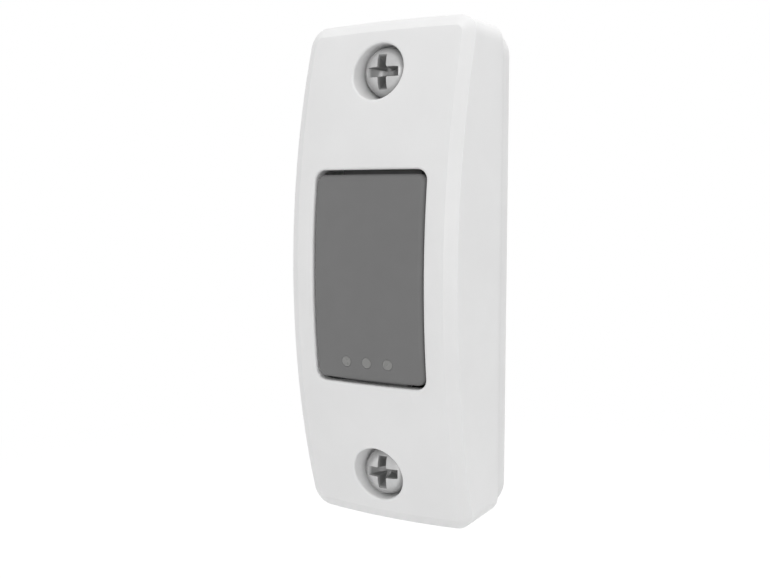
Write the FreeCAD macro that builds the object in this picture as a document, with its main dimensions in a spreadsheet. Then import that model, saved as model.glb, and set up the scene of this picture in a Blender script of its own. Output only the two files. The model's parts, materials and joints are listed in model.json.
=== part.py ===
import FreeCAD, Part
import math
import os
import re
import Sketcher
from FreeCAD import Placement, Rotation, Vector

# Wall push button for a powered door: a slim arched case on a back plate, two wall screws in round
# wells, a rocking cap in the middle window, and behind it a circuit board with a tact switch, a locator
# lamp and two screw terminals. The frame has X to the right, Y into the wall and Z up. The origin is the
# middle of the back plate's wall face, so the case stands towards -Y. A "lift" is a height above the
# wall, which is the distance along -Y.
SIZES = [
    # how far cutters run past a face, and joined solids run into each other
    ("past", 1.0),
    ("bite", 0.2),
    # case, as the photograph shows it
    ("case_height", 69.6),
    ("case_width", 26.0),
    ("case_depth", 18.2),  # wall to the middle of the face
    ("arch_radius", 108.0),  # the face bends from top to bottom
    ("crown_radius", 68.0),  # and slightly from side to side
    ("arch_sweep", 70.0),  # degrees of the arch that the cutters cover
    ("case_corner", 2.6),
    ("bevel_width", 1.6),  # across the face
    ("bevel_depth", 0.8),  # down the side
    ("side_wall", 1.6),
    ("face_wall", 1.8),
    # back plate
    ("plate_thick", 2.4),
    ("plate_inset", 0.1),
    ("plate_corner", 4.2),
    ("rim_rise", 1.6),
    ("rim_wall", 1.0),
    ("rim_gap", 0.1),
    ("snap_width", 4.0),
    ("snap_depth", 0.3),
    ("snap_thick", 0.6),
    ("snap_below", 0.3),
    ("snap_level", 13.0),
    ("snap_gap", 0.05),
    # window for the cap
    ("window_side", 4.3),  # white border beside it
    ("window_above", 20.25),  # and above it
    ("window_below", 20.2),
    ("window_corner", 1.5),
    ("window_edge", 0.3),
    # screw wells
    ("screw_inset", 7.0),  # from the end of the case
    ("well_radius", 3.88),  # at the face
    ("well_foot", 3.65),  # and at the screw's seat
    ("well_wall", 1.2),
    ("well_edge", 0.25),
    ("seat_depth", 7.4),
    ("seat_floor", 1.6),
    ("pillar_radius", 3.4),
    # wall screws, No. 6 (3.5 mm) pan head, 1 1/4 in long, with a plain shank as deep as the case
    ("blank_radius", 1.45),
    ("thread_radius", 1.75),
    ("core_radius", 1.25),
    ("screw_gap", 0.2),
    ("screw_length", 31.75),
    ("thread_pitch", 1.3),
    ("thread_flank", 0.4),
    ("thread_crest", 0.2),
    ("thread_lead", 0.15),  # from the wall to the first crest
    ("point_length", 3.0),
    ("head_radius", 3.5),
    ("head_side", 0.75),
    ("head_taper", 0.12),
    ("head_rise", 2.6),
    ("head_flat", 1.3),
    ("head_arc", 3.9),
    ("cross_span", 5.2),
    ("cross_width", 1.3),
    ("cross_depth", 1.9),
    # cap
    ("cap_side_gap", 0.15),
    ("cap_top_gap", 0.6),
    ("cap_low_gap", 0.45),
    ("cap_recess", 0.12),
    ("cap_corner", 1.3),
    ("cap_edge", 0.8),
    ("cap_wall", 1.1),
    ("cap_thick", 2.2),
    ("cap_depth", 5.4),
    ("rib_wall", 1.0),
    ("rib_rise", 1.2),
    ("rib_gap", 2.5),
    # hinge of the cap: two trunnions in open snap bearings above the window
    ("hinge_rise", 2.45),  # above the window's top edge
    ("hinge_depth", 5.6),
    ("trunnion_radius", 1.0),
    ("trunnion_gap", 0.05),
    ("barrel_radius", 1.4),
    ("tongue_gap", 0.1),
    ("tongue_thick", 1.4),
    ("lug_gap", 0.25),
    ("lug_thick", 2.0),
    ("lug_half", 2.1),
    ("lug_foot", 1.4),
    ("bearing_mouth", 1.7),
    # stop under the lower end of the cap
    ("stop_width", 10.0),
    ("stop_reach", 1.15),
    ("stop_thick", 1.0),
    ("stop_gap", 0.08),
    # light guide in the cap
    ("dot_radius", 0.72),
    ("dot_pitch", 3.25),
    ("dot_inset", 3.05),  # from the window's lower edge
    ("dot_gap", 0.02),
    ("dot_proud", 0.02),
    ("guide_width", 9.6),
    ("guide_height", 2.4),
    ("guide_thick", 1.4),
    ("guide_stem", 1.2),
    ("guide_gap", 1.0),  # to the lamp
    # circuit board
    ("board_lift", 4.4),
    ("board_thick", 1.6),
    ("board_side_gap", 1.0),
    ("board_end_gap", 1.22),
    ("board_corner", 1.0),
    ("post_radius", 1.9),
    ("post_side", 2.2),
    ("post_end", 2.3),
    ("pin_radius", 0.9),
    ("pin_gap", 0.1),
    ("pin_length", 1.4),
    ("board_screw_radius", 1.1),
    ("board_screw_gap", 0.03),
    ("board_screw_length", 5.0),
    ("board_head_radius", 2.0),
    ("board_head_rise", 1.4),
    ("board_head_round", 0.5),
    ("board_point", 0.8),
    ("board_cross_span", 2.2),
    ("board_cross_width", 0.5),
    ("board_cross_depth", 0.8),
    # tact switch
    ("switch_drop", 1.0),
    ("switch_side", 6.0),
    ("switch_rise", 3.3),
    ("switch_well", 2.4),
    ("switch_floor", 1.0),
    ("cover_thick", 0.3),
    ("cover_tab", 1.2),
    ("cover_tab_width", 3.0),
    ("plunger_radius", 1.7),
    ("plunger_gap", 0.05),
    ("plunger_rise", 5.0),
    ("plunger_round", 0.2),
    ("flange_radius", 2.2),
    ("flange_thick", 0.8),
    ("flange_gap", 0.02),
    ("nub_radius", 0.7),
    ("nub_length", 0.5),
    ("travel", 0.3),
    ("dome_gap", 0.03),
    ("dome_thick", 0.15),
    ("dome_shoulder", 0.05),
    ("dome_foot", 0.2),
    ("dome_radius", 2.2),
    ("nose_radius", 1.8),
    ("nose_tip", 2.4),
    ("nose_gap", 0.02),
    ("leg_width", 0.7),
    ("leg_thick", 0.3),
    ("leg_across", 3.25),
    ("leg_along", 2.25),
    ("leg_tail", 0.9),
    ("leg_rise", 1.2),
    ("leg_gap", 0.1),
    # locator lamp
    ("lamp_radius", 1.5),
    ("lamp_flange", 1.9),
    ("lamp_flange_thick", 0.9),
    ("lamp_rise", 5.2),
    ("lamp_pitch", 2.54),
    ("wire_radius", 0.25),
    ("wire_hole_gap", 0.15),
    # resistor and diode, lying across the board
    ("resistor_radius", 1.15),
    ("resistor_length", 6.3),
    ("resistor_above", 5.6),  # the terminals
    ("resistor_cap", 1.4),
    ("resistor_waist", 1.0),
    ("rest_gap", 0.02),
    ("diode_radius", 1.3),
    ("diode_length", 5.0),
    ("diode_inset", 4.3),
    ("lead_span", 10.2),
    ("lead_tail", 0.9),
    # screw terminals on the wall side of the board
    ("terminal_side", 4.2),
    ("terminal_above", 10.0),  # the switch
    ("terminal_width", 6.6),
    ("terminal_height", 8.4),
    ("terminal_thick", 0.8),
    ("bush_radius", 2.3),
    ("bush_flange", 2.9),
    ("bush_flange_thick", 0.8),
    ("bush_rise", 1.6),
    ("bush_gap", 0.05),
    ("clamp_radius", 1.5),
    ("clamp_gap", 0.03),
    ("clamp_length", 5.2),
    ("clamp_head", 2.7),
    ("clamp_head_rise", 1.7),
    ("clamp_head_round", 0.5),
    ("clamp_point", 0.4),
    ("washer_radius", 3.1),
    ("washer_thick", 0.6),
    ("slot_width", 0.8),
    ("slot_depth", 0.8),
    ("opening_side", 0.5),
    ("opening_margin", 1.6),
    ("opening_corner", 1.5),
    ("solder_radius", 0.85),
    ("solder_rise", 0.7),
    ("solder_wall", 0.12),
    ("solder_gap", 0.02),
]
# places and sizes that follow from the ones above
DERIVED = {
    "window_width": "case_width - 2 * window_side",
    "window_top": "case_height / 2 - window_above",
    "window_low": "window_below - case_height / 2",
    "screw_level": "case_height / 2 - screw_inset",
    "seat_lift": "case_depth - seat_depth",
    "well_face": "case_depth - arch_radius + sqrt(arch_radius^2 - screw_level^2)",
    "well_slope": "(well_radius - well_foot) / (well_face - seat_lift)",
    "well_mouth": "well_foot + (case_depth + past - seat_lift) * well_slope",
    "cap_floor_lift": "case_depth - cap_thick",
    "cap_skirt_lift": "case_depth - cap_depth",
    "hinge_lift": "case_depth - hinge_depth",
    "hinge_level": "window_top + hinge_rise",
    "dot_level": "window_low + dot_inset",
    "switch_level": "-switch_drop",
    "guide_lift": "board_lift + board_thick + lamp_rise + guide_gap",
    "board_width": "case_width - 2 * (side_wall + board_side_gap)",
    "board_height": "2 * (screw_level - well_radius - well_wall - board_end_gap)",
    "post_across": "board_width / 2 - post_side",
    "post_along": "board_height / 2 - post_end",
    "tongue_half": "post_across - post_radius - tongue_gap",
    "diode_level": "diode_inset - board_height / 2",
    "terminal_across": "board_width / 2 - terminal_side",
    "terminal_level": "switch_level + terminal_above",
    "resistor_level": "terminal_level + resistor_above",
    "opening_half": "terminal_across + terminal_width / 2 + opening_side",
}
NAMES = {name for name, _ in SIZES}
ALONG_X = Rotation(Vector(0, 1, 0), 90)
ALONG_Y = Rotation(Vector(1, 0, 0), -90)
SIDES = (-1, 1)
TOUCH = 1e-4  # places closer than this are the same
TRACE = 1e-6  # a volume or a direction that changes by less than this stays as it was

doc = FreeCAD.newDocument("wall_push_button")
sheet = doc.addObject("Spreadsheet::Sheet", "dims")
for row, (alias, value) in enumerate(SIZES, start=1):
    sheet.set(f"A{row}", alias.replace("_", " "))
    sheet.set(f"B{row}", str(value))
    sheet.setAlias(f"B{row}", alias)
doc.recompute()
probe = doc.addObject("App::FeaturePython", "probe")
probe.addProperty("App::PropertyFloat", "result")


def linked(formula):
    """The formula with every size name pointed at its cell in the sheet."""

    def to_cell(found):
        name = found.group(0)
        if name in DERIVED:
            return f"({linked(DERIVED[name])})"
        return f"dims.{name}" if name in NAMES else name

    return re.sub(r"[a-z][a-z_]+", to_cell, formula)


def bind(thing, prop, formula):
    thing.setExpression(prop, linked(formula))


def number(formula):
    """The present value of a formula, worked out by the document itself."""
    bind(probe, "result", formula)
    probe.recompute()
    return probe.result


def place(thing, across, lift, level, turn=None):
    """Puts an object's own origin at (across, lift, level)."""
    if turn is not None:
        thing.Placement = Placement(Vector(0, 0, 0), turn)
    bind(thing, "Placement.Base.x", across)
    bind(thing, "Placement.Base.y", f"-({lift})")
    bind(thing, "Placement.Base.z", level)


# Plain solids


def block(label, x0, x1, low, high, z0, z1):
    """Box from x0 to x1 and z0 to z1, between two lifts."""
    box = doc.addObject("Part::Box", label)
    bind(box, "Length", f"({x1}) - ({x0})")
    bind(box, "Width", f"({high}) - ({low})")
    bind(box, "Height", f"({z1}) - ({z0})")
    place(box, x0, high, z0)
    return box


def rod(label, across, level, low, high, radius):
    """Cylinder square to the wall between two lifts."""
    shaft = doc.addObject("Part::Cylinder", label)
    bind(shaft, "Radius", radius)
    bind(shaft, "Height", f"({high}) - ({low})")
    place(shaft, across, high, level, ALONG_Y)
    return shaft


def cross_rod(label, x0, x1, lift, level, radius):
    """Cylinder along X from x0 to x1."""
    shaft = doc.addObject("Part::Cylinder", label)
    bind(shaft, "Radius", radius)
    bind(shaft, "Height", f"({x1}) - ({x0})")
    place(shaft, x0, lift, level, ALONG_X)
    return shaft


def joined(label, pieces):
    whole = doc.addObject("Part::MultiFuse", label)
    whole.Shapes = pieces
    return whole


def cut(label, base, tools):
    rest = doc.addObject("Part::Cut", label)
    rest.Base = base
    rest.Tool = tools[0] if len(tools) == 1 else joined(f"{label} cutters", tools)
    return rest


def common(label, first, second):
    both = doc.addObject("Part::MultiCommon", label)
    both.Shapes = [first, second]
    return both


def group(label, pieces):
    """Several like pieces that share one node."""
    together = doc.addObject("Part::Compound", label)
    together.Links = pieces
    return together


# Sketched solids


def sketch_on(body, plane, label, lift=None):
    sk = body.newObject("Sketcher::SketchObject", label)
    origin = [o for o in body.Origin.OriginFeatures if o.Role == plane][0]
    sk.AttachmentSupport = [(origin, "")]
    sk.MapMode = "FlatFace"
    if lift is not None:
        bind(sk, "AttachmentOffset.Base.z", lift)
    return sk


def constrain(sk, kind, refs, formula):
    index = sk.addConstraint(Sketcher.Constraint(kind, *refs, number(formula)))
    bind(sk, f"Constraints[{index}]", formula)


def outline(sk, points, arcs=()):
    """Closed outline through the points, each given by two formulas. arcs maps the index of an edge to
    the formula of its radius and to the side, 1 or -1, on which its centre lies."""
    arcs = dict(arcs)
    spots = [Vector(number(u), number(v), 0) for u, v in points]
    first = []
    for i, start in enumerate(spots):
        end = spots[(i + 1) % len(spots)]
        if i not in arcs:
            sk.addGeometry(Part.LineSegment(start, end), False)
            first.append(1)
            continue
        radius, side = number(arcs[i][0]), arcs[i][1]
        chord = end - start
        middle = (start + end) * 0.5
        away = Vector(-chord.y, chord.x, 0).normalize() * side
        centre = middle + away * math.sqrt(radius**2 - (chord.Length / 2) ** 2)
        crest = centre - away * radius
        ends = (start, end) if side > 0 else (end, start)
        sk.addGeometry(Part.Arc(ends[0], crest, ends[1]), False)
        first.append(1 if side > 0 else 2)
    for i in range(len(spots)):
        nxt = (i + 1) % len(spots)
        sk.addConstraint(Sketcher.Constraint("Coincident", i, 3 - first[i], nxt, first[nxt]))
    for i, (u, v) in enumerate(points):
        constrain(sk, "DistanceX", (-1, 1, i, first[i]), u)
        constrain(sk, "DistanceY", (-1, 1, i, first[i]), v)
    for i, (radius, _) in arcs.items():
        constrain(sk, "Radius", (i,), radius)
    return sk


def rectangle(half_width, low, high):
    left = f"-({half_width})"
    return [(left, low), (half_width, low), (half_width, high), (left, high)]


def padded(body, label, points, low, high):
    """Pad of an outline, seen from the front, between two lifts."""
    sk = outline(sketch_on(body, "XZ_Plane", f"{label} sketch", low), points)
    pad = body.newObject("PartDesign::Pad", label)
    pad.Profile = sk
    bind(pad, "Length", f"({high}) - ({low})")
    doc.recompute()
    return pad


def pocketed(body, label, sk, length=None):
    """Pocket from the sketch outwards, away from the wall, through everything or to a length."""
    before = body.Shape.Volume
    pocket = body.newObject("PartDesign::Pocket", label)
    pocket.Profile = sk
    pocket.Reversed = True
    if length is None:
        pocket.Type = "ThroughAll"
    else:
        bind(pocket, "Length", length)
    doc.recompute()
    if not body.Shape.Volume < before - TRACE:
        raise RuntimeError(f"{label} cuts nothing")
    return pocket


def edge_names(shape, wanted):
    return [f"Edge{i}" for i, edge in enumerate(shape.Edges, start=1) if wanted(edge)]


def square_to_wall(edge):
    """Straight edges along Y."""
    straight = isinstance(edge.Curve, (Part.Line, Part.LineSegment))
    return straight and abs(abs(edge.tangentAt(0).y) - 1) < TRACE


def rounded(body, label, base, names, radius):
    fillet = body.newObject("PartDesign::Fillet", label)
    fillet.Base = (base, names)
    bind(fillet, "Radius", radius)
    doc.recompute()
    return fillet


def face_profile(offset, far):
    """Outline across the case, seen from above, between the crowned face at an offset behind the case's
    face and a straight line at a lift."""
    half = "case_width"
    radius = f"(crown_radius - ({offset}))"
    edge = f"-(case_depth - ({offset}) - {radius} + sqrt({radius}^2 - {half}^2))"
    points = [(f"-{half}", edge), (half, edge), (half, f"-({far})"), (f"-{half}", f"-({far})")]
    return points, {0: (radius, 1)}


def about_arch(body, kind, label, offset, far):
    """Turns the face's profile about the axis of its arch."""
    points, arcs = face_profile(offset, far)
    sk = outline(sketch_on(body, "XY_Plane", f"{label} sketch"), points, arcs)
    axis = "arch_radius - case_depth"
    ends = Vector(-1, number(axis), 0), Vector(1, number(axis), 0)
    line = sk.addGeometry(Part.LineSegment(*ends), True)
    constrain(sk, "DistanceX", (-1, 1, line, 1), "-case_width")
    constrain(sk, "DistanceX", (-1, 1, line, 2), "case_width")
    constrain(sk, "DistanceY", (-1, 1, line, 1), axis)
    constrain(sk, "DistanceY", (-1, 1, line, 2), axis)
    turn = body.newObject(kind, label)
    turn.Profile = sk
    turn.ReferenceAxis = (sk, ["Axis0"])
    bind(turn, "Angle", "arch_sweep")
    turn.Midplane = True
    doc.recompute()
    return turn


def arched_front(body, label, offset):
    """Cuts a body off along the arched and crowned face."""
    before = body.Shape.Volume
    groove = about_arch(body, "PartDesign::Groove", label, offset, "2 * case_depth")
    if not body.Shape.Volume < before - TRACE:
        raise RuntimeError(f"{label} cuts nothing")
    return groove


def front_face(shape):
    """The crowned face, which is the largest that isn't flat or a cylinder."""
    simple = ("Part::GeomPlane", "Part::GeomCylinder")
    curved = [f for f in shape.Faces if f.Surface.TypeId not in simple]
    return max(curved, key=lambda f: f.Area)


def wire_edges(shape, wires):
    held = [e for w in wires for e in w.Edges]
    return edge_names(shape, lambda edge: any(edge.isSame(e) for e in held))


def arched_prism(label, half_width, low_end, high_end, corner, offset, low):
    """Upright prism with rounded corners and the arched front, from a lift to the face."""
    body = doc.addObject("PartDesign::Body", label)
    front = rectangle(half_width, low_end, high_end)
    pad = padded(body, f"{label} pad", front, low, "case_depth + past")
    corners = rounded(body, f"{label} corners", pad, edge_names(pad.Shape, square_to_wall), corner)
    face = arched_front(body, f"{label} arch", offset)
    return body, corners, face


def turned(label, points, arcs=(), across="0", level="0"):
    """Solid of revolution about an axis square to the wall. Points are (radius, lift)."""
    body = doc.addObject("PartDesign::Body", label)
    points = [(radius, f"-({lift})") for radius, lift in points]
    sk = outline(sketch_on(body, "XY_Plane", f"{label} sketch"), points, arcs)
    turn = body.newObject("PartDesign::Revolution", f"{label} turn")
    turn.Profile = sk
    turn.ReferenceAxis = (sk, ["V_Axis"])
    turn.Angle = 360
    place(body, across, "0", level)
    doc.recompute()
    return body


# Shared positions

half_height = "case_height / 2"
half_width = "case_width / 2"
window_half = "window_width / 2"
cap_half = f"({window_half} - cap_side_gap)"
cap_top = "(window_top - cap_top_gap)"
cap_low = "(window_low + cap_low_gap)"
board_front = "(board_lift + board_thick)"
switch_top = f"({board_front} + switch_rise)"
plunger_top = f"({board_front} + plunger_rise)"
inner_half = f"({half_width} - side_wall)"
inner_end = f"({half_height} - side_wall)"
inner_corner = "(case_corner - side_wall)"


def outward(side, near, far):
    """A span between two distances from the middle plane, on one side of it, lower end first."""
    return (near, far) if side > 0 else (f"-{far}", f"-{near}")


def inner_face_lift(across, level):
    """Lift of the case's inner face at a point."""
    crown = "(crown_radius - face_wall)"
    drop = f"({crown} - sqrt({crown}^2 - ({across})^2))"
    return f"(case_depth - arch_radius + sqrt((arch_radius - face_wall - {drop})^2 - ({level})^2))"


# Front housing

shell, _, arch = arched_prism("case shell", half_width, f"-{half_height}", half_height, "case_corner",
                              "0", "plate_thick")
bevel = shell.newObject("PartDesign::Chamfer", "face bevel")
bevel.Base = (arch, wire_edges(arch.Shape, [front_face(arch.Shape).OuterWire]))
bevel.ChamferType = "Two distances"
bind(bevel, "Size", "bevel_depth")
bind(bevel, "Size2", "bevel_width")
doc.recompute()

window = sketch_on(shell, "XZ_Plane", "window sketch")
outline(window, rectangle(window_half, "window_low", "window_top"))
pocketed(shell, "window", window)
for end in SIDES:
    sk = sketch_on(shell, "XY_Plane", f"well sketch {end}", f"{end} * screw_level")
    outline(sk, [("0", "-seat_lift"), ("well_foot", "-seat_lift"),
                 ("well_mouth", "-(case_depth + past)"), ("0", "-(case_depth + past)")])
    cut_volume = shell.Shape.Volume
    well = shell.newObject("PartDesign::Groove", f"well {end}")
    well.Profile = sk
    well.ReferenceAxis = (sk, ["V_Axis"])
    well.Angle = 360
    doc.recompute()
    if not shell.Shape.Volume < cut_volume - TRACE:
        raise RuntimeError(f"well {end} cuts nothing")
    sk = sketch_on(shell, "XZ_Plane", f"screw hole sketch {end}")
    centre = Vector(0, end * number("screw_level"), 0)
    sk.addGeometry(Part.Circle(centre, Vector(0, 0, 1), number("thread_radius + screw_gap")), False)
    constrain(sk, "DistanceX", (-1, 1, 0, 3), "0")
    constrain(sk, "DistanceY", (-1, 1, 0, 3), f"{end} * screw_level")
    constrain(sk, "Radius", (0,), "thread_radius + screw_gap")
    pocketed(shell, f"screw hole {end}", sk)


def in_window(edge):
    """Corner edges of the window."""
    return square_to_wall(edge) and abs(abs(edge.CenterOfMass.x) - number(window_half)) < TOUCH


rounded(shell, "window corners", shell.Tip, edge_names(shell.Tip.Shape, in_window), "window_corner")


def rims(wanted):
    """Edges of the openings in the face whose width passes the test."""
    face = front_face(shell.Tip.Shape)
    inner = [w for w in face.Wires if not w.isSame(face.OuterWire)]
    return wire_edges(shell.Tip.Shape, [w for w in inner if wanted(w.BoundBox.XLength)])


well_limit = number("(window_width + 2 * well_radius) / 2")
rounded(shell, "window rim", shell.Tip, rims(lambda width: width > well_limit), "window_edge")
rounded(shell, "well rims", shell.Tip, rims(lambda width: width < well_limit), "well_edge")

cavity, _, _ = arched_prism("case cavity", inner_half, f"-{inner_end}", inner_end, inner_corner,
                            "face_wall", "plate_thick - past")
kept = []
for end in SIDES:
    level = f"{end} * screw_level"
    kept.append(rod(f"well wall {end}", "0", level, "seat_lift - seat_floor", "case_depth",
                    "well_radius + well_wall"))
    kept.append(rod(f"screw pillar {end}", "0", level, "plate_thick", "seat_lift", "pillar_radius"))
for side in SIDES:
    x0, x1 = outward(side, "(tongue_half + lug_gap)", "(tongue_half + lug_gap + lug_thick)")
    kept.append(block(f"bearing lug {side}", x0, x1, "hinge_lift - lug_foot", "case_depth",
                      "hinge_level - lug_half", "hinge_level + lug_half"))
    for end in SIDES:
        kept.append(rod(f"board post {side} {end}", f"{side} * post_across", f"{end} * post_along",
                        board_front, "case_depth", "post_radius"))
hollow = cut("case hollow", cavity, kept)
bearing = "trunnion_radius + trunnion_gap"
lug_end = "(tongue_half + lug_gap + lug_thick + bite)"
bores = [
    cross_rod("bearing bore", f"-{lug_end}", lug_end, "hinge_lift", "hinge_level", bearing),
    block("bearing mouth", f"-{lug_end}", lug_end, "hinge_lift - lug_foot - past", "hinge_lift",
          "hinge_level - bearing_mouth / 2", "hinge_level + bearing_mouth / 2"),
]
snap_low = "(plate_thick + rim_rise - snap_thick - snap_below)"
for side in SIDES:
    bores.append(rod(f"board screw pilot {side}", f"{side} * post_across", f"{side} * post_along",
                     "board_lift", f"{board_front} + board_screw_length",
                     "board_screw_radius + board_screw_gap"))
    for end in SIDES:
        x0, x1 = outward(side, f"({inner_half} - bite)", f"({inner_half} + snap_depth + snap_gap)")
        bores.append(block(f"snap recess {side} {end}", x0, x1, f"{snap_low} - snap_gap",
                           f"{snap_low} + snap_thick + snap_gap",
                           f"{end} * snap_level - snap_width / 2 - snap_gap",
                           f"{end} * snap_level + snap_width / 2 + snap_gap"))
housing = cut("housing without pins", cut("open shell", shell, [hollow]), bores)
pins = [rod(f"board pin {side}", f"{side} * post_across", f"-({side} * post_along)",
            f"{board_front} - pin_length", f"{board_front} + bite", "pin_radius") for side in SIDES]
front_housing = joined("front_housing", [housing, *pins])

# Back plate

plate = doc.addObject("PartDesign::Body", "plate sheet")
plate_half = f"({half_width} - plate_inset)"
plate_end = f"({half_height} - plate_inset)"
plate_pad = padded(plate, "plate pad", rectangle(plate_half, f"-{plate_end}", plate_end), "0",
                   "plate_thick")
rounded(plate, "plate corners", plate_pad, edge_names(plate_pad.Shape, square_to_wall), "plate_corner")


rim_outside = doc.addObject("PartDesign::Body", "rim outside")
rim_half = f"({inner_half} - rim_gap)"
rim_end = f"({inner_end} - rim_gap)"
rim_pad = padded(rim_outside, "rim pad", rectangle(rim_half, f"-{rim_end}", rim_end), "plate_thick",
                 "plate_thick + rim_rise")
rounded(rim_outside, "rim corners", rim_pad, edge_names(rim_pad.Shape, square_to_wall),
        f"({inner_corner} - rim_gap)")
rim = cut("plate rim", rim_outside, [
    block("rim inside", f"-({rim_half} - rim_wall)", f"{rim_half} - rim_wall", "plate_thick",
          "plate_thick + rim_rise + past", f"-({rim_end} - rim_wall)", f"{rim_end} - rim_wall"),
])
snaps = []
for side in SIDES:
    for end in SIDES:
        x0, x1 = outward(side, f"({rim_half} - bite)", f"({inner_half} + snap_depth)")
        snaps.append(block(f"snap {side} {end}", x0, x1, snap_low, f"{snap_low} + snap_thick",
                           f"{end} * snap_level - snap_width / 2", f"{end} * snap_level + snap_width / 2"))
opening = doc.addObject("PartDesign::Body", "terminal opening")
opening_low = "(terminal_level - terminal_height / 2 - opening_margin)"
opening_high = "(terminal_level + terminal_height / 2 + opening_margin)"
opening_pad = padded(opening, "opening pad", rectangle("opening_half", opening_low, opening_high),
                     "-past", "plate_thick + rim_rise + past")
rounded(opening, "opening corners", opening_pad, edge_names(opening_pad.Shape, square_to_wall),
        "opening_corner")
holes = [rod(f"plate screw hole {end}", "0", f"{end} * screw_level", "-past", "plate_thick + past",
             "thread_radius + screw_gap") for end in SIDES]
rear_plate = cut("rear_plate", joined("plate with rim", [plate, rim, *snaps]), [opening, *holes])

# Button cap

cap, _, cap_arch = arched_prism("cap prism", cap_half, cap_low, cap_top, "cap_corner", "cap_recess",
                                "cap_skirt_lift")
cap_rim = wire_edges(cap_arch.Shape, [front_face(cap_arch.Shape).OuterWire])
rounded(cap, "cap edge", cap_arch, cap_rim, "cap_edge")
inside = sketch_on(cap, "XZ_Plane", "cap inside sketch", "cap_skirt_lift")
outline(inside, rectangle(f"({cap_half} - cap_wall)", f"({cap_low} + cap_wall)",
                          f"({cap_top} - cap_wall)"))
pocketed(cap, "cap inside", inside, "cap_floor_lift - cap_skirt_lift")

stop_low = f"({cap_low} - stop_reach)"
stop_lift = f"({inner_face_lift('stop_width / 2', stop_low)} - stop_gap)"
trunnion_end = "(tongue_half + lug_gap + lug_thick)"
nose_low = f"({plunger_top} + nose_gap)"
nose = turned("switch nose", [
    ("0", nose_low),
    ("nose_radius", f"{nose_low} + nose_tip - sqrt(nose_tip^2 - nose_radius^2)"),
    ("nose_radius", "cap_floor_lift + bite"),
    ("0", "cap_floor_lift + bite"),
], {0: ("nose_tip", -1)}, "0", "switch_level")
cap_pieces = [
    cap,
    block("hinge tongue", "-tongue_half", "tongue_half", "hinge_lift - tongue_thick / 2",
          "hinge_lift + tongue_thick / 2", f"{cap_top} - cap_wall", "hinge_level"),
    cross_rod("hinge barrel", "-tongue_half", "tongue_half", "hinge_lift", "hinge_level",
              "barrel_radius"),
    cross_rod("trunnions", f"-{trunnion_end}", trunnion_end, "hinge_lift", "hinge_level",
              "trunnion_radius"),
    block("stop", "-stop_width / 2", "stop_width / 2", f"{stop_lift} - stop_thick", stop_lift,
          stop_low, f"{cap_low} + cap_wall / 2"),
    nose,
    block("nose rib across", f"-({cap_half} - cap_wall / 2)", f"{cap_half} - cap_wall / 2",
          "cap_floor_lift - rib_rise", "cap_floor_lift + bite", "switch_level - rib_wall / 2",
          "switch_level + rib_wall / 2"),
    block("nose rib along", "-rib_wall / 2", "rib_wall / 2", "cap_floor_lift - rib_rise",
          "cap_floor_lift + bite", "dot_level + guide_height / 2 + rib_gap",
          f"{cap_top} - cap_wall / 2"),
]
dot_holes = [rod(f"dot hole {i}", f"{i} * dot_pitch", "dot_level", "cap_skirt_lift",
                 "case_depth + past", "dot_radius + dot_gap") for i in (-1, 0, 1)]
button_cap = cut("button_cap", joined("cap pieces", cap_pieces), dot_holes)

# Light guide

dot_face = doc.addObject("PartDesign::Body", "dot face")
about_arch(dot_face, "PartDesign::Revolution", "dot face turn", "cap_recess - dot_proud", "0")
dots = joined("dot posts", [rod(f"dot post {i}", f"{i} * dot_pitch", "dot_level",
                                "cap_floor_lift - bite", "case_depth + past", "dot_radius")
                            for i in (-1, 0, 1)])
guide_bar = block("guide bar", "-guide_width / 2", "guide_width / 2", "cap_floor_lift - guide_thick",
                  "cap_floor_lift", "dot_level - guide_height / 2", "dot_level + guide_height / 2")
guide_stem = rod("guide stem", "0", "dot_level", "guide_lift", "cap_floor_lift - bite", "guide_stem")
light_guide = joined("light_guide", [common("flush dots", dots, dot_face), guide_bar, guide_stem])

# Wall screws

thread_end = "(seat_lift - screw_length + point_length)"
turns = int(number(f"(-thread_lead - {thread_end}) / thread_pitch"))
ridges = []
for i in range(turns):
    crest = f"(-thread_lead - {i} * thread_pitch)"
    ridges += [
        ("core_radius" if i else "blank_radius", f"{crest} + thread_flank"),
        ("thread_radius", crest),
        ("thread_radius", f"{crest} - thread_crest"),
        ("core_radius", f"{crest} - thread_crest - thread_flank"),
    ]
screw_points = [
    ("0", "seat_lift + head_rise"),
    ("head_flat", "seat_lift + head_rise"),
    ("head_radius - head_taper", "seat_lift + head_side"),
    ("head_radius", "seat_lift"),
    ("blank_radius", "seat_lift"),
    *ridges,
    ("core_radius", thread_end),
    ("0", "seat_lift - screw_length"),
]


def cross_recess(label, across, level, floor, top, span, width):
    """The two crossed bars of a screw head's recess."""
    long, thin = f"{span} / 2", f"{width} / 2"
    return [
        block(f"{label} bar", f"{across} - {long}", f"{across} + {long}", floor, top,
              f"{level} - {thin}", f"{level} + {thin}"),
        block(f"{label} post", f"{across} - {thin}", f"{across} + {thin}", floor, top,
              f"{level} - {long}", f"{level} + {long}"),
    ]


screws = []
for end in SIDES:
    level = f"{end} * screw_level"
    shaft = turned(f"screw turning {end}", screw_points, {1: ("head_arc", 1)}, "0", level)
    recess = cross_recess(f"screw {end}", "0", level, "seat_lift + head_rise - cross_depth",
                          "seat_lift + head_rise + past", "cross_span", "cross_width")
    screws.append(cut(f"wall screw {end}", shaft, recess))
wall_screws = group("wall_screws", screws)

# Circuit board

lead_holes = []


def lead_hole(label, across, level):
    lead_holes.append(rod(f"{label} hole", across, level, "board_lift - past", f"{board_front} + past",
                          "wire_radius + wire_hole_gap"))


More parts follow.
